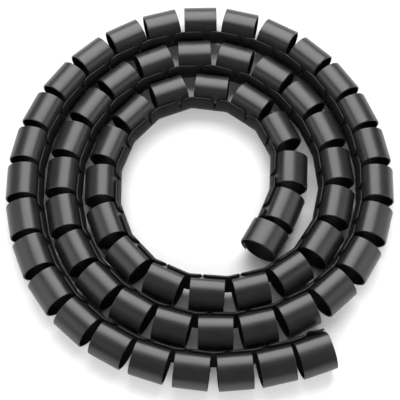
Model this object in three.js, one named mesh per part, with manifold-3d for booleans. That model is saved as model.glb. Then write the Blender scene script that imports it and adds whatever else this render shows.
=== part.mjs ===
// Slotted cable wrap, black plastic, lying as a flat three-turn coil.
// One extruded tube, cut across at even steps into C-shaped fingers that all
// stay joined to one spine. The spine runs along the inside of the coil, so the
// cuts open like fans towards the outside. Each finger starts at the lower edge
// of the spine, goes under, round the outside and over the top, and its free
// tip tucks in behind the upright flaps of the spine.
// Millimetres, +Z up, the coil rests on z = 0, its box is centred on x = y = 0.

import * as THREE from 'three';
import { mergeVertices } from 'three/addons/utils/BufferGeometryUtils.js';
import Module from 'manifold-3d';

// ---- driving dimensions -------------------------------------------------
const TUBE_D = 23;           // outside diameter of the wrap
const WALL = 1.0;            // wall thickness
const FINGER_LENGTH = 20.6;  // length of one finger along the tube
const LAST_LENGTH = 16.0;    // the finger at the inner end is cut shorter
const END_TRIM = 0.8;        // spine left past that finger, up to the last bend point
const FACET = 30;            // degrees per flat of the round section
const TIP_CLEAR = 0.4;       // air between a finger's tip and the flap over it
const SPINE_LOW = 62;        // degrees that the spine reaches below mid height
const FLAP_TOP = 40;         // degrees that the flaps reach above mid height
const SLIT_BEHIND = 0.34;    // flap slits sit this share of a step behind each cut
const FIRST_SLIT = 0.46;     // the same share for the slit nearest the outer end
const SKIN = 0.05;           // fingers are this much under the spine's surfaces
const OUTER_END_SPREAD = 1.14;  // the finger at the outer end has sprung this much wider
const LIVE_SPREAD = 1.02;    // the outer half of every other finger is sprung this wide,
const LIVE_EXTRA = 0.05;     // and more so near the outer end, falling off along the wrap
const LOOSE_TIP_R = 13.3;    // radius of the loose tip of the finger at the inner end

// Fingers that lean on the turn around them are pressed in: share of the full
// half width that is left, by number from the outer end.
const PRESSED = {
  29: 0.997, 30: 0.973, 31: 0.986, 33: 1.008, 34: 0.957, 35: 0.986, 36: 1.0, 40: 0.995,
  46: 0.975, 47: 0.995, 49: 0.917, 50: 0.944, 51: 0.928, 52: 0.917, 53: 0.973, 54: 0.972,
  55: 0.945, 56: 0.899, 57: 0.866, 58: 0.946, 59: 0.911, 60: 0.956, 61: 0.928, 64: 0.985,
};

const R = TUBE_D / 2;
const FLAP_R = R + 0.25;     // radius at the corners of the spine's flats
const FLAP_HALF = 17.5;      // half the angle of the flap's own flat

// Bend points of the spine at mid height, one at every cut, from the outer end
// of the coil to the inner end (x, y). The lay turns clockwise seen from above.
const BENDS = [
  [72.7, -83.2], [51.9, -90.5], [30.6, -95.5], [8.0, -97.4], [-14.4, -94.6], [-35.4, -87.7],
  [-54.7, -76.7], [-71.0, -61.8], [-83.4, -43.3], [-91.4, -22.7], [-95.5, -1.0], [-95.3, 21.0],
  [-90.6, 42.5], [-81.2, 62.7], [-67.7, 80.6], [-50.7, 95.4], [-31.3, 105.6], [-10.6, 111.3],
  [11.6, 111.7], [33.4, 106.3], [52.9, 95.6], [69.2, 80.7], [82.0, 62.4], [90.9, 41.9],
  [95.5, 20.0], [95.1, -2.4], [89.3, -24.2], [77.9, -43.4], [61.7, -58.2], [41.8, -68.2],
  [20.4, -73.2], [-2.0, -73.1], [-23.8, -66.9], [-42.8, -55.6], [-58.1, -39.6], [-68.0, -20.0],
  [-72.1, 1.6], [-70.6, 23.6], [-63.5, 44.6], [-50.9, 63.4], [-34.0, 77.9], [-13.9, 86.3],
  [8.0, 87.2], [29.1, 80.8], [47.3, 67.6], [61.2, 50.0], [69.9, 29.5], [72.4, 7.7],
  [67.9, -13.9], [56.0, -32.7], [38.0, -45.3], [16.5, -50.7], [-6.2, -48.9], [-26.2, -39.5],
  [-40.6, -23.5], [-48.1, -2.8], [-48.1, 19.8], [-40.3, 40.6], [-25.1, 56.9], [-5.1, 64.5],
  [16.4, 61.6], [34.0, 48.9], [43.6, 29.5], [42.5, 6.8], [34.7, -12.5], [25.5, -29.0],
];

// ---- section geometry ---------------------------------------------------
const rad = (d) => d * Math.PI / 180;

// Point of a section at an angle below the spine's mid height, measured from the
// inner side of the tube downwards: out is away from the coil's middle, up is z.
const at = (deg, r) => [-r * Math.cos(rad(deg)), -r * Math.sin(rad(deg))];

// Radius at an angle on a flat whose middle is at midDeg and whose apothem is a.
const onFlat = (deg, midDeg, a) => a / Math.cos(rad(deg - midDeg));

// How wide the outer half of a finger is, as a share of the tube's radius.
function spreadOf(k) {
  if (k === 0) return OUTER_END_SPREAD;
  return Math.min(LIVE_SPREAD + LIVE_EXTRA * Math.exp((1 - k) / 3), PRESSED[k] ?? 9);
}

// The finger: a C of flats with its tip tucked inward behind the flap. Its outer
// half may be spread wider. The finger at the inner end has slipped out from
// behind its flap, and its loose tip lies over the outside of the spine.
function fingerOutline(spread = 1, loose = false) {
  const half = Math.cos(rad(FACET / 2));
  const outer = [];
  const inner = [];
  for (let deg = 45; deg <= 285; deg += FACET) {
    outer.push(at(deg, (R - SKIN) / half));
    inner.push(at(deg, (R - WALL + SKIN) / half));
  }
  if (loose) {
    const tip = LOOSE_TIP_R - 0.95;
    outer.push(at(315, R + 1.25), at(338, LOOSE_TIP_R), at(360, LOOSE_TIP_R), at(380, LOOSE_TIP_R), at(400, LOOSE_TIP_R));
    inner.push(at(315, R + 0.25), at(338, tip), at(360, tip), at(380, tip), at(400, tip));
  } else {
    const tuck = FLAP_R * Math.cos(rad(FLAP_HALF)) - WALL - TIP_CLEAR;
    const mid = 360 - FLAP_TOP + FLAP_HALF;
    outer.push(at(302, R + 0.05), at(317, onFlat(317, mid, tuck)), at(345, onFlat(345, mid, tuck)));
    inner.push(at(299, R - 0.9), at(315, onFlat(315, mid, tuck - 0.9)), at(345, onFlat(345, mid, tuck - 0.9)));
  }
  return outer.concat(inner.reverse()).map(([x, y]) => [x > 0 ? x * spread : x, y]);
}

// The spine with its flaps, from the lower edge up to the flap's top edge.
function spineOutline() {
  const half = Math.cos(rad(FACET / 2));
  const ring = (t) => [
    at(SPINE_LOW, onFlat(SPINE_LOW, 60, R - t)),
    at(45, (R - t) / half), at(20, FLAP_R - t), at(2 * FLAP_HALF - FLAP_TOP, FLAP_R - t),
    at(-FLAP_TOP, FLAP_R - t),
  ];
  return ring(0).concat(ring(WALL).reverse());
}

// ---- stations along the spine -------------------------------------------
const steps = [];
for (let k = 0; k + 1 < BENDS.length; k++) {
  const a = new THREE.Vector3(BENDS[k][0], BENDS[k][1], R);
  const b = new THREE.Vector3(BENDS[k + 1][0], BENDS[k + 1][1], R);
  const along = b.clone().sub(a);
  const length = along.length();
  along.normalize();
  const out = new THREE.Vector3(-along.y, along.x, 0);
  // where the finger starts and ends along the step, from the step's middle
  const last = k + 2 === BENDS.length;
  const to = last ? length / 2 - END_TRIM : FINGER_LENGTH / 2;
  const from = last ? to - LAST_LENGTH : -FINGER_LENGTH / 2;
  steps.push({ a, b, along, out, length, from, to, mid: a.clone().add(b).multiplyScalar(0.5) });
}

// The spine runs straight along each finger and bends only between fingers.
class SpineLine extends THREE.Curve {
  constructor() {
    super();
    this.points = [];
    this.tangents = [];
    steps.forEach((s, k) => {
      const first = k === 0 ? s.from + 0.3 : s.from;
      const last = k === steps.length - 1 ? s.to - 0.3 : s.to;
      const foot = s.mid.clone().addScaledVector(s.out, R);
      this.points.push(foot.clone().addScaledVector(s.along, first), foot.clone().addScaledVector(s.along, last));
      this.tangents.push(s.along.clone(), s.along.clone());
    });
  }
  index(u) { return Math.round(u * (this.points.length - 1)); }
  getPoint(u, target = new THREE.Vector3()) { return target.copy(this.points[this.index(u)]); }
  getPointAt(u, target) { return this.getPoint(u, target); }
  getTangent(u, target = new THREE.Vector3()) { return target.copy(this.tangents[this.index(u)]); }
  getTangentAt(u, target) { return this.getTangent(u, target); }
}

// ---- solids -------------------------------------------------------------
const wasm = await Module();
wasm.setup();

function solid(geometry) {
  geometry.deleteAttribute('normal');
  geometry.deleteAttribute('uv');
  const merged = mergeVertices(geometry.index ? geometry.toNonIndexed() : geometry, 1e-4);
  return new wasm.Manifold(new wasm.Mesh({
    numProp: 3,
    vertProperties: new Float32Array(merged.attributes.position.array),
    triVerts: new Uint32Array(merged.index.array),
  }));
}

const shapeOf = (outline) => new THREE.Shape(outline.map(([x, y]) => new THREE.Vector2(x, y)));

// Fingers: the section lies across, x outwards and y up, and is drawn out along the step.
const fingers = steps.map((s, k) => {
  const shape = shapeOf(fingerOutline(spreadOf(k), k === steps.length - 1));
  const g = new THREE.ExtrudeGeometry(shape, { depth: s.to - s.from, steps: 1, bevelEnabled: false });
  g.translate(0, 0, s.from);
  const up = new THREE.Vector3(0, 0, 1);
  const place = new THREE.Matrix4().makeBasis(s.out, up, s.along);
  place.setPosition(s.mid.clone().addScaledVector(s.out, R));
  g.applyMatrix4(place);
  return solid(g);
});

// Spine and flaps in one sweep. Along a level curve the section's x points down
// and its y points outwards.
const line = new SpineLine();
const spineShape = shapeOf(spineOutline().map(([out, up]) => [-up, out]));
let spine = solid(new THREE.ExtrudeGeometry(spineShape, {
  steps: line.points.length - 1, bevelEnabled: false, extrudePath: line,
}));

// Slits between the flaps, a narrow V each. The spine has no flap left standing
// along the finger at the inner end, whose loose tip lies there instead.
const slitShape = shapeOf([[-0.6, 1.1], [0.6, 1.1], [1.9, 8.4], [-1.9, 8.4]]);
const clearShape = shapeOf([[0.8, 1.1], [26, 1.1], [26, 8.4], [0.8, 8.4]]);
const slits = steps.map((s, k) => {
  const last = k === steps.length - 1;
  const g = new THREE.ExtrudeGeometry(last ? clearShape : slitShape, { depth: 6, steps: 1, bevelEnabled: false });
  const up = new THREE.Vector3(0, 0, 1);
  const place = new THREE.Matrix4().makeBasis(s.along.clone(), up, s.out.clone().negate());
  const behind = k === 0 ? FIRST_SLIT : SLIT_BEHIND;
  const foot = last ? s.a.clone() : s.b.clone().addScaledVector(s.along, -behind * s.length);
  place.setPosition(foot.addScaledVector(s.out, 4));
  g.applyMatrix4(place);
  return solid(g);
});
spine = spine.subtract(wasm.Manifold.union(slits));

const wrapSolid = wasm.Manifold.union([spine, ...fingers]);

function geometryOf(manifold) {
  const mesh = manifold.getMesh();
  const g = new THREE.BufferGeometry();
  g.setAttribute('position', new THREE.BufferAttribute(new Float32Array(mesh.vertProperties), 3));
  g.setIndex(new THREE.BufferAttribute(new Uint32Array(mesh.triVerts), 1));
  g.computeVertexNormals();
  return g;
}

const wrapGeometry = geometryOf(wrapSolid);
wrapGeometry.computeBoundingBox();
const box = wrapGeometry.boundingBox;
const centre = box.getCenter(new THREE.Vector3());

const blackPlastic = new THREE.MeshStandardMaterial({ color: 0x17181a, roughness: 0.38, metalness: 0.0 });

const part = new THREE.Group();
part.name = 'cable_wrap';
const wrap = new THREE.Mesh(wrapGeometry, blackPlastic);
wrap.name = 'wrap';
wrap.position.set(-centre.x, -centre.y, -box.min.z);
part.add(wrap);

export default part;
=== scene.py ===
"""Slotted cable wrap in black plastic, lying as a flat coil of about three turns.

The wrap is one moulding: a spine along the inside of the coil, a row of round
C-shaped fingers that spring from the spine's lower edge, and a row of upright
flaps on the spine that the free tips of the fingers tuck in behind.
Metres in the scene; the tables and sizes below are in millimetres.
"""
import math
import random

import bpy
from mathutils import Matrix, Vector


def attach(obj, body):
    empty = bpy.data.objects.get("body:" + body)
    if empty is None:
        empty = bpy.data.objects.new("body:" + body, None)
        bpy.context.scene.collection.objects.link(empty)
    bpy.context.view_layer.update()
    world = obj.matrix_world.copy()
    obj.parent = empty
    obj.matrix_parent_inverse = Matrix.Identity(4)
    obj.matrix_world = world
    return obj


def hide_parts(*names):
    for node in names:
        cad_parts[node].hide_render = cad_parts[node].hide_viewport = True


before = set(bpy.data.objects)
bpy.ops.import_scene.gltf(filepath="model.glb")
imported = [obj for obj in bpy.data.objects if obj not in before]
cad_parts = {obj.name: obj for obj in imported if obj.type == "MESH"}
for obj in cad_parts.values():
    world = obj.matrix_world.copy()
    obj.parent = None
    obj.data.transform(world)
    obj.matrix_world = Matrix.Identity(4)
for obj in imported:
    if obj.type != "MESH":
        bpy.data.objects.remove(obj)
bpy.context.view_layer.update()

MM = 0.001

# ---- sizes of the wrap, in millimetres -----------------------------------
TUBE_R = 11.5            # outside radius of the wrap
ROUND_R = 11.45          # outside radius of a finger
WALL = 1.0               # wall thickness
FINGER_LENGTH = 20.6     # length of one finger along the tube
ROOT_DEG = 46.0          # the finger leaves the spine this far below mid height
TIP_DEG = 345.0          # where its free tip ends, behind the flap
SPINE_LOW = 61.0         # lower edge of the spine, degrees below mid height
FLAP_TOP = 40.0          # top edge of the flaps, degrees above mid height
SPINE_R = 11.5           # outside radius of the spine
FLAP_R = 11.65           # outside radius at the top edge of the flaps
SLIT_BEHIND = 0.34       # slits sit this share of a step behind each cut
FIRST_SLIT = 0.46        # the same share for the slit nearest the outer end
LAST_LENGTH = 16.0       # the finger at the inner end is cut shorter
END_TRIM = 0.8           # spine left past that finger
OUTER_END_SPREAD = 1.14  # the finger at the outer end has sprung this much wider
LIVE_SPREAD = 1.02       # the outer half of the others is sprung this wide, and more
LIVE_EXTRA = 0.05        # so near the outer end, falling off over a few fingers
LOOSE_R = 13.1           # outside radius at the loose tip of the last finger
LOOSE_DEG = 400.0        # where that tip ends, over the outside of the spine
LAST_FLAP_END = 0.8      # the last flap ends this far past the last cut
CORNER = 1.9             # rounding of the flaps' top corners
EDGE = 0.22              # rounding of the moulded edges
HOLE_R = 0.8             # small round hole at the foot of each slit

# Bend points of the spine at mid height, one at every cut, outer end first.
SHIFT = (0.0204, -7.0222)
BENDS = [
    (72.7, -83.2), (51.9, -90.5), (30.6, -95.5), (8.0, -97.4), (-14.4, -94.6), (-35.4, -87.7),
    (-54.7, -76.7), (-71.0, -61.8), (-83.4, -43.3), (-91.4, -22.7), (-95.5, -1.0), (-95.3, 21.0),
    (-90.6, 42.5), (-81.2, 62.7), (-67.7, 80.6), (-50.7, 95.4), (-31.3, 105.6), (-10.6, 111.3),
    (11.6, 111.7), (33.4, 106.3), (52.9, 95.6), (69.2, 80.7), (82.0, 62.4), (90.9, 41.9),
    (95.5, 20.0), (95.1, -2.4), (89.3, -24.2), (77.9, -43.4), (61.7, -58.2), (41.8, -68.2),
    (20.4, -73.2), (-2.0, -73.1), (-23.8, -66.9), (-42.8, -55.6), (-58.1, -39.6), (-68.0, -20.0),
    (-72.1, 1.6), (-70.6, 23.6), (-63.5, 44.6), (-50.9, 63.4), (-34.0, 77.9), (-13.9, 86.3),
    (8.0, 87.2), (29.1, 80.8), (47.3, 67.6), (61.2, 50.0), (69.9, 29.5), (72.4, 7.7),
    (67.9, -13.9), (56.0, -32.7), (38.0, -45.3), (16.5, -50.7), (-6.2, -48.9), (-26.2, -39.5),
    (-40.6, -23.5), (-48.1, -2.8), (-48.1, 19.8), (-40.3, 40.6), (-25.1, 56.9), (-5.1, 64.5),
    (16.4, 61.6), (34.0, 48.9), (43.6, 29.5), (42.5, 6.8), (34.7, -12.5), (25.5, -29.0),
]

# Fingers that lean on the turn around them are pressed in: share of the full
# half width that is left, by number from the outer end.
PRESSED = {
    29: 0.997, 30: 0.973, 31: 0.986, 33: 1.008, 34: 0.957, 35: 0.986, 36: 1.0, 40: 0.995,
    46: 0.975, 47: 0.995, 49: 0.917, 50: 0.944, 51: 0.928, 52: 0.917, 53: 0.973, 54: 0.972,
    55: 0.945, 56: 0.899, 57: 0.866, 58: 0.946, 59: 0.911, 60: 0.956, 61: 0.928, 64: 0.985,
}

rng = random.Random(7)


# ---- the lay of the spine --------------------------------------------------
class Step:
    """One straight stretch of the spine, with the finger that it carries."""

    def __init__(self, a, b):
        self.a, self.b = Vector(a), Vector(b)
        run = self.b - self.a
        self.length = run.length
        self.along = run / self.length
        self.out = Vector((-self.along.y, self.along.x))
        self.mid = (self.a + self.b) / 2
        # where the finger starts and ends along the step, from its middle
        self.t0, self.t1 = -FINGER_LENGTH / 2, FINGER_LENGTH / 2


points = [(x + SHIFT[0], y + SHIFT[1]) for x, y in BENDS]
steps = [Step(points[k], points[k + 1]) for k in range(len(points) - 1)]
steps[-1].t1 = steps[-1].length / 2 - END_TRIM
steps[-1].t0 = steps[-1].t1 - LAST_LENGTH


def place(foot, out, deg, r, spread=1.0):
    """Point at an angle below mid height, measured from the inner side. The
    outer half of the section can be spread wider."""
    x, z = -r * math.cos(math.radians(deg)), -r * math.sin(math.radians(deg))
    flat = foot + out * (TUBE_R + (x * spread if x > 0 else x))
    return (flat.x * MM, flat.y * MM, (ROUND_R + z) * MM)


def on_step(k, t):
    """Foot and outward direction at t mm from the middle of step k. Beyond the
    finger's ends the spine bends smoothly into its neighbour."""
    s = steps[k]
    if t > s.t1 - 0.2 and k + 1 < len(steps):
        p, n = s, steps[k + 1]
    elif t < s.t0 + 0.2 and k > 0:
        p, n = steps[k - 1], s
    else:
        return s.mid + s.along * t, s.out
    lo, hi = p.t1 - 0.2, n.t0 + 0.2
    a, b, c = p.mid + p.along * lo, p.b, n.mid + n.along * hi
    reach = (p.length / 2 - lo) + (hi + n.length / 2)
    u = min((t - lo) / reach, 1.0) if p is s else max(1.0 + (t - hi) / reach, 0.0)
    foot = a * (1 - u) ** 2 + b * 2 * u * (1 - u) + c * u ** 2
    run = (b - a) * (1 - u) + (c - b) * u
    run.normalize()
    return foot, Vector((-run.y, run.x))


# ---- mesh helpers ----------------------------------------------------------
class Mesh:
    def __init__(self):
        self.verts, self.faces, self.uvs, self.shift = [], [], [], []

    def add(self, co, uv):
        self.verts.append(co)
        self.uvs.append(uv)
        return len(self.verts) - 1

    def face(self, *v, dull=False):
        if len(set(v)) > 2:
            self.faces.append(tuple(dict.fromkeys(v)))
            self.shift.append(140 * MM if dull else 0.0)   # u over 0.1 marks a dull face

    def build(self, name):
        me = bpy.data.meshes.new(name)
        me.from_pydata(self.verts, [], self.faces)
        layer = me.uv_layers.new(name="UVMap")
        for poly, shift in zip(me.polygons, self.shift):
            for i in poly.loop_indices:
                u, v = self.uvs[me.loops[i].vertex_index]
                layer.data[i].uv = (u + shift, v)
        me.validate()
        me.shade_smooth()
        ob = bpy.data.objects.new(name, me)
        bpy.context.scene.collection.objects.link(ob)
        return ob


def drop(distance):
    """How far a rounded edge has fallen at a distance in from the edge."""
    if distance >= EDGE:
        return 0.0
    d = EDGE - max(distance, 0.0)
    return EDGE - math.sqrt(max(EDGE * EDGE - d * d, 0.0))


def smooth(a, b, x):
    t = min(max((x - a) / (b - a), 0.0), 1.0)
    return t * t * (3 - 2 * t)


mesh = Mesh()

# Distances in from a moulded edge, in edge roundings, that carry vertices.
NEAR = (0.0, 0.25, 1.0, 2.2)

# ---- fingers ---------------------------------------------------------------
ROUND_STEPS = 34
SPREAD = [min(LIVE_SPREAD + LIVE_EXTRA * math.exp((1 - k) / 3), PRESSED.get(k, 9.0))
          for k in range(len(steps))]
SPREAD[0] = OUTER_END_SPREAD


def finger_radius(deg, loose):
    """Outside radius round the finger: round, then easing in behind the flap,
    or out over the spine where the tip has come loose."""
    if loose:
        return ROUND_R + (LOOSE_R - ROUND_R) * smooth(283.0, 335.0, deg)
    return ROUND_R - 1.42 * smooth(291.0, 322.0, deg)


def make_finger(k):
    s = steps[k]
    loose = k == len(steps) - 1
    tip_deg, count = (LOOSE_DEG, ROUND_STEPS + 8) if loose else (TIP_DEG, ROUND_STEPS)
    degs = [ROOT_DEG + (tip_deg - ROOT_DEG) * i / count for i in range(count + 1)]
    stations = [(s.t0 + a * EDGE, a * EDGE) for a in NEAR]
    stations += [(s.t1 - a * EDGE, a * EDGE) for a in reversed(NEAR)]
    rings = []
    for t, from_end in stations:
        foot = s.mid + s.along * t
        fall = drop(from_end)
        outer, inner = [], []
        for deg in degs:
            r = finger_radius(deg, loose)
            tip = math.radians(tip_deg - deg) * r   # distance from the free tip
            f = max(fall, drop(tip))
            arc = math.radians(deg) * r
            outer.append((deg, r - f, arc))
            inner.append((deg, r - WALL + f, arc))
        # round the free tip off
        r = finger_radius(tip_deg, loose)
        arc = math.radians(tip_deg) * r
        nose = [(tip_deg + 1.1, r - 0.42, arc), (tip_deg + 1.1, r - 0.58, arc)]
        ring = []
        for deg, r, arc in outer + nose + inner[::-1]:
            co = place(foot, s.out, deg, r, SPREAD[k])
            ring.append(mesh.add(co, (arc * MM, (t + 24 * k) * MM)))
        rings.append(ring)
    n, m = len(rings[0]), len(degs)
    for a, b in zip(rings, rings[1:]):
        for i in range(n - 1):
            mesh.face(a[i], b[i], b[i + 1], a[i + 1], dull=i > m)   # inside the bore
        mesh.face(a[n - 1], b[n - 1], b[0], a[0])
    for ring, flip in ((rings[0], False), (rings[-1], True)):
        for i in range(m - 1):
            quad = (ring[i], ring[i + 1], ring[n - 2 - i], ring[n - 1 - i])
            mesh.face(*(quad[::-1] if flip else quad))
        tip = (ring[m - 1], ring[m], ring[m + 1], ring[m + 2])
        mesh.face(*(tip[::-1] if flip else tip))


for k in range(len(steps)):
    make_finger(k)

# ---- spine and flaps -------------------------------------------------------
ARC = math.pi / 180 * TUBE_R           # mm of arc for one degree
TOP = FLAP_TOP * ARC                   # height of the top edge along the arc
HOLE_AT = 0.9                          # height of the hole's middle
LOW = -SPINE_LOW * ARC
FOOT = HOLE_AT - HOLE_R                # height where a slit starts


def rounding(h, corner):
    """How far a flap's rounded top corner has drawn back at a height."""
    d = h - (TOP - corner)
    return corner - math.sqrt(max(corner ** 2 - d * d, 0.0)) if d > 0 else 0.0


def slit_half(h, corner=CORNER):
    """Half the width of a slit at a height along the arc; zero below its foot."""
    if h <= FOOT:
        return 0.0
    w = 0.0
    if abs(h - HOLE_AT) < HOLE_R:
        w = math.sqrt(HOLE_R ** 2 - (h - HOLE_AT) ** 2)
    if h > HOLE_AT:
        u = (h - HOLE_AT) / (TOP - HOLE_AT)
        w = max(w, 0.24 + 1.25 * u ** 1.15)
    return w + rounding(h, corner)


# Rows up the band. Rows crowd at both edges, round the hole and at the corners.
rows = [LOW + a * EDGE for a in NEAR]
rows += [LOW + (FOOT - LOW) * u for u in (0.3, 0.62, 0.93)]
rows += [HOLE_AT - HOLE_R * math.cos(math.radians(a)) for a in (0, 32, 62, 92, 128, 162)]
rows += [HOLE_AT + (TOP - CORNER - HOLE_AT) * u for u in (0.4, 0.72, 1.0)]
rows += [TOP - CORNER + CORNER * math.sin(math.radians(a)) for a in (20, 39, 56, 70)]
rows += [TOP - a * EDGE for a in (0.25, 0.06, 0.0)]
rows = sorted(set(round(h, 4) for h in rows))

# The foot row is where a slit starts; above it a flap has edges of its own.
foot_row = min(range(len(rows)), key=lambda i: abs(rows[i] - FOOT))


def past_cut(k, x):
    """Foot and outward direction x mm on from the cut at the start of step k."""
    if x < 0 and k > 0:
        return on_step(k - 1, steps[k - 1].length / 2 + x)
    return on_step(k, -steps[k].length / 2 + x)


def make_sheet(k, x0, x1, heights, draw0, draw1, open0, open1, knots, flare, seam):
    """Part of the band from x0 to x1 past cut k. Each side draws back with
    height as its function says; it is open at the foot too, or from the foot
    row up. Returns the side that the next sheet joins on to."""
    top = heights[-1]
    grid_o, grid_i = [], []
    for j, h in enumerate(heights):
        lo, hi = x0 + draw0(h), x1 - draw1(h)
        near = [a * EDGE for a in NEAR]
        inner = [lo + (hi - lo) * u for u in knots] if knots[0] > 0 else [
            min(max(x, lo + 2.4 * EDGE), hi - 2.4 * EDGE)
            for x in (x0 + 3.2, *[0.7 * u for u in (-2, -1, 0, 1, 2)], x1 - 3.2)]
        xs = [lo + a for a in near] + inner + [hi - a for a in reversed(near)]
        row_o, row_i = [], []
        for x in xs:
            edge = min(top - h, h - LOW)
            if open0 or j > foot_row:
                edge = min(edge, x - lo)
            if open1 or j > foot_row:
                edge = min(edge, hi - x)
            f = drop(edge)
            foot, out = past_cut(k, x)
            deg = -h / ARC
            u = max(h, 0.0) / TOP
            ro = SPINE_R + (FLAP_R - SPINE_R) * smooth(0.2, 1.0, u) + flare(x) * u ** 1.6
            uv = ((h + 20) * MM, (x + 24 * k) * MM)
            row_o.append(mesh.add(place(foot, out, deg, ro - f), uv))
            row_i.append(mesh.add(place(foot, out, deg, ro - WALL + f), uv))
        grid_o.append(row_o)
        grid_i.append(row_i)
    if seam is not None:                 # the whole part of the band runs on
        for j in range(foot_row + 1):
            grid_o[j][0], grid_i[j][0] = seam[0][j], seam[1][j]
    n = len(grid_o[0])
    rim = len(rows) - 4                  # the cut top edge keeps its shine
    for j in range(len(heights) - 1):
        for i in range(n - 1):
            a, b = grid_o[j][i], grid_o[j][i + 1]
            c, d = grid_o[j + 1][i + 1], grid_o[j + 1][i]
            mesh.face(a, b, c, d, dull=j < rim)
            a, b = grid_i[j][i], grid_i[j][i + 1]
            c, d = grid_i[j + 1][i + 1], grid_i[j + 1][i]
            mesh.face(d, c, b, a, dull=j < rim)
    for i in range(n - 1):               # lower edge and top edge
        mesh.face(grid_i[0][i], grid_i[0][i + 1], grid_o[0][i + 1], grid_o[0][i])
        mesh.face(grid_o[-1][i], grid_o[-1][i + 1], grid_i[-1][i + 1], grid_i[-1][i])
    for j in range(len(heights) - 1):    # sides of the slits and the two ends
        if j >= foot_row or open0:
            mesh.face(grid_o[j][0], grid_o[j + 1][0], grid_i[j + 1][0], grid_i[j][0])
        if j >= foot_row or open1:
            mesh.face(grid_i[j][-1], grid_i[j + 1][-1], grid_o[j + 1][-1], grid_o[j][-1])
    return [r[-1] for r in grid_o], [r[-1] for r in grid_i]


def make_flaps():
    """Flap k stands across the cut at the start of step k, from slit to slit."""
    end = len(steps) - 1
    even = (0.14, 0.29, 0.42, 0.5, 0.58, 0.71, 0.86)
    trim = steps[0].length / 2 + steps[0].t0 + 0.15
    slit = steps[0].length * (1 - FIRST_SLIT)

    def outer_flare(x):
        return 0.5 + 1.9 * smooth(trim, slit, x)

    seam = make_sheet(0, trim, slit, rows, lambda h: rounding(h, 1.8),
                      lambda h: slit_half(h, 3.0), True, False, even, outer_flare, None)
    for k in range(1, end + 1):
        behind = (FIRST_SLIT if k == 1 else SLIT_BEHIND) * steps[k - 1].length
        lean = max(rng.uniform(-0.06, 0.1), 0.0) + (0.35 if k == 1 else 0.0)
        if k < end:
            stop, draw, knots = steps[k].length * (1 - SLIT_BEHIND), slit_half, (0.0,)
        else:
            stop, draw, knots = LAST_FLAP_END, lambda h: rounding(h, CORNER), even
        seam = make_sheet(k, -behind, stop, rows, slit_half, draw, False, False,
                          knots, lambda x: lean, seam)
    # past the last flap the band runs on low, under the loose tip
    stop = steps[end].length / 2 + steps[end].t1 - 0.15
    make_sheet(end, LAST_FLAP_END, stop, rows[:foot_row + 1], lambda h: 0.0,
               lambda h: 0.0, False, True, even, lambda x: 0.0, seam)


make_flaps()
wrap = mesh.build("wrap_moulding")


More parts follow.
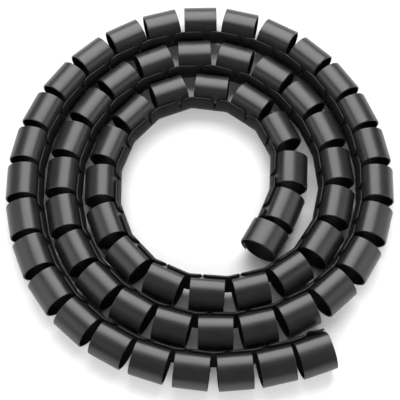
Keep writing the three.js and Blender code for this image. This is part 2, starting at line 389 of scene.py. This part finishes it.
# ---- black plastic ---------------------------------------------------------
def black_plastic():
    mat = bpy.data.materials.new("black_plastic_satin")
    mat.use_nodes = True
    nt = mat.node_tree
    nodes, links = nt.nodes, nt.links
    nodes.clear()
    out = nodes.new("ShaderNodeOutputMaterial")
    bsdf = nodes.new("ShaderNodeBsdfPrincipled")
    links.new(bsdf.outputs["BSDF"], out.inputs["Surface"])
    bsdf.inputs["IOR"].default_value = 1.5

    uv = nodes.new("ShaderNodeUVMap")
    uv.uv_map = "UVMap"
    coord = nodes.new("ShaderNodeTexCoord")

    # faint lines drawn along the tube by the tool that it was pressed through
    stretch = nodes.new("ShaderNodeMapping")
    stretch.inputs["Scale"].default_value = (2200.0, 45.0, 1.0)
    links.new(uv.outputs["UV"], stretch.inputs["Vector"])
    lines = nodes.new("ShaderNodeTexNoise")
    lines.inputs["Scale"].default_value = 1.0
    lines.inputs["Detail"].default_value = 3.0
    links.new(stretch.outputs["Vector"], lines.inputs["Vector"])

    # broad cloudiness of the moulded surface
    cloud = nodes.new("ShaderNodeTexNoise")
    cloud.inputs["Scale"].default_value = 130.0
    cloud.inputs["Detail"].default_value = 4.0
    links.new(coord.outputs["Object"], cloud.inputs["Vector"])

    # fine matt grain
    grain = nodes.new("ShaderNodeTexNoise")
    grain.inputs["Scale"].default_value = 5200.0
    grain.inputs["Detail"].default_value = 2.0
    links.new(coord.outputs["Object"], grain.inputs["Vector"])

    mix = nodes.new("ShaderNodeMix")
    mix.data_type = "FLOAT"
    mix.inputs["Factor"].default_value = 0.5
    links.new(lines.outputs["Fac"], mix.inputs["A"])
    links.new(cloud.outputs["Fac"], mix.inputs["B"])

    ramp = nodes.new("ShaderNodeValToRGB")
    ramp.color_ramp.elements[0].position = 0.3
    ramp.color_ramp.elements[0].color = (0.0042, 0.0043, 0.0046, 1)
    ramp.color_ramp.elements[1].position = 0.72
    ramp.color_ramp.elements[1].color = (0.0070, 0.0071, 0.0075, 1)
    links.new(mix.outputs["Result"], ramp.inputs["Fac"])
    links.new(ramp.outputs["Color"], bsdf.inputs["Base Color"])

    rough = nodes.new("ShaderNodeMapRange")
    rough.inputs["From Min"].default_value = 0.3
    rough.inputs["From Max"].default_value = 0.7
    rough.inputs["To Min"].default_value = 0.30
    rough.inputs["To Max"].default_value = 0.40
    links.new(mix.outputs["Result"], rough.inputs["Value"])

    # the spine, its flaps and the bore are duller than the fingers' outside
    across = nodes.new("ShaderNodeSeparateXYZ")
    links.new(uv.outputs["UV"], across.inputs["Vector"])
    spine = nodes.new("ShaderNodeMath")
    spine.operation = "GREATER_THAN"
    spine.inputs[1].default_value = 0.1
    links.new(across.outputs["X"], spine.inputs[0])
    shine = nodes.new("ShaderNodeMapRange")
    shine.inputs["To Min"].default_value = 0.5
    shine.inputs["To Max"].default_value = 0.1
    links.new(spine.outputs["Value"], shine.inputs["Value"])
    links.new(shine.outputs["Result"], bsdf.inputs["Specular IOR Level"])
    dull = nodes.new("ShaderNodeMath")
    dull.operation = "MULTIPLY_ADD"
    dull.inputs[1].default_value = 0.14
    links.new(spine.outputs["Value"], dull.inputs[0])
    links.new(rough.outputs["Result"], dull.inputs[2])
    links.new(dull.outputs["Value"], bsdf.inputs["Roughness"])

    bump = nodes.new("ShaderNodeBump")
    bump.inputs["Strength"].default_value = 0.10
    bump.inputs["Distance"].default_value = 0.00012
    links.new(lines.outputs["Fac"], bump.inputs["Height"])
    bump2 = nodes.new("ShaderNodeBump")
    bump2.inputs["Strength"].default_value = 0.12
    bump2.inputs["Distance"].default_value = 0.00004
    links.new(grain.outputs["Fac"], bump2.inputs["Height"])
    links.new(bump.outputs["Normal"], bump2.inputs["Normal"])
    links.new(bump2.outputs["Normal"], bsdf.inputs["Normal"])
    return mat


wrap.data.materials.append(black_plastic())
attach(wrap, "root")
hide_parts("wrap")

# ---- floor, light, camera --------------------------------------------------
floor_me = bpy.data.meshes.new("floor")
F = 4.0
floor_me.from_pydata([(-F, -F, 0), (F, -F, 0), (F, F, 0), (-F, F, 0)], [], [(0, 1, 2, 3)])
floor = bpy.data.objects.new("floor", floor_me)
floor.location.z = -0.0001
bpy.context.scene.collection.objects.link(floor)
fmat = bpy.data.materials.new("floor_white")
fmat.use_nodes = True
fb = fmat.node_tree.nodes["Principled BSDF"]
fb.inputs["Base Color"].default_value = (0.60, 0.60, 0.60, 1)
fb.inputs["Roughness"].default_value = 0.9
fb.inputs["Specular IOR Level"].default_value = 0.1
floor_me.materials.append(fmat)


def softbox(name, centre, target, size_x, size_y, radiance):
    data = bpy.data.lights.new(name, "AREA")
    data.shape = "RECTANGLE"
    data.size, data.size_y = size_x, size_y
    data.energy = radiance * math.pi * size_x * size_y
    ob = bpy.data.objects.new(name, data)
    ob.location = centre
    ob.rotation_euler = (Vector(target) - Vector(centre)).to_track_quat("-Z", "Y").to_euler()
    bpy.context.scene.collection.objects.link(ob)
    return ob


# A large softbox behind the coil gives the bright band on each finger, and a
# weaker one on either side fills the flanks.
softbox("softbox_back", (0.0, 1.09, 1.18), (0.0, 0.0, 0.01), 1.70, 1.85, 6.6)
softbox("softbox_left", (-1.39, -0.20, 0.78), (0.0, 0.0, 0.01), 1.30, 1.50, 1.9)
softbox("softbox_right", (1.39, -0.20, 0.78), (0.0, 0.0, 0.01), 1.30, 1.50, 1.9)

# and a fill from the front that whitens the floor but leaves no gleam of its own.
fill = softbox("softbox_fill", (0.0, -1.5, 1.0), (0.0, 0.0, 0.0), 1.60, 1.20, 8.0)
fill.visible_glossy = False

world = bpy.data.worlds.new("studio")
world.use_nodes = True
world.node_tree.nodes["Background"].inputs["Color"].default_value = (0.16, 0.16, 0.16, 1)
world.node_tree.nodes["Background"].inputs["Strength"].default_value = 1.0
bpy.context.scene.world = world
bpy.context.scene.view_settings.view_transform = "Standard"

cam_data = bpy.data.cameras.new("camera")
cam_data.sensor_width = 36.0
cam_data.lens = 1400 / 400 * 36.0
cam_data.clip_start, cam_data.clip_end = 0.01, 20.0
camera = bpy.data.objects.new("camera", cam_data)
ELEVATION, DISTANCE = math.radians(66.0), 0.8556
target = Vector((SHIFT[0] * MM, SHIFT[1] * MM, 0.01095))
camera.location = target + Vector((0, -math.cos(ELEVATION), math.sin(ELEVATION))) * DISTANCE
camera.rotation_euler = (math.pi / 2 - ELEVATION, 0, 0)
bpy.context.scene.collection.objects.link(camera)
bpy.context.scene.camera = camera
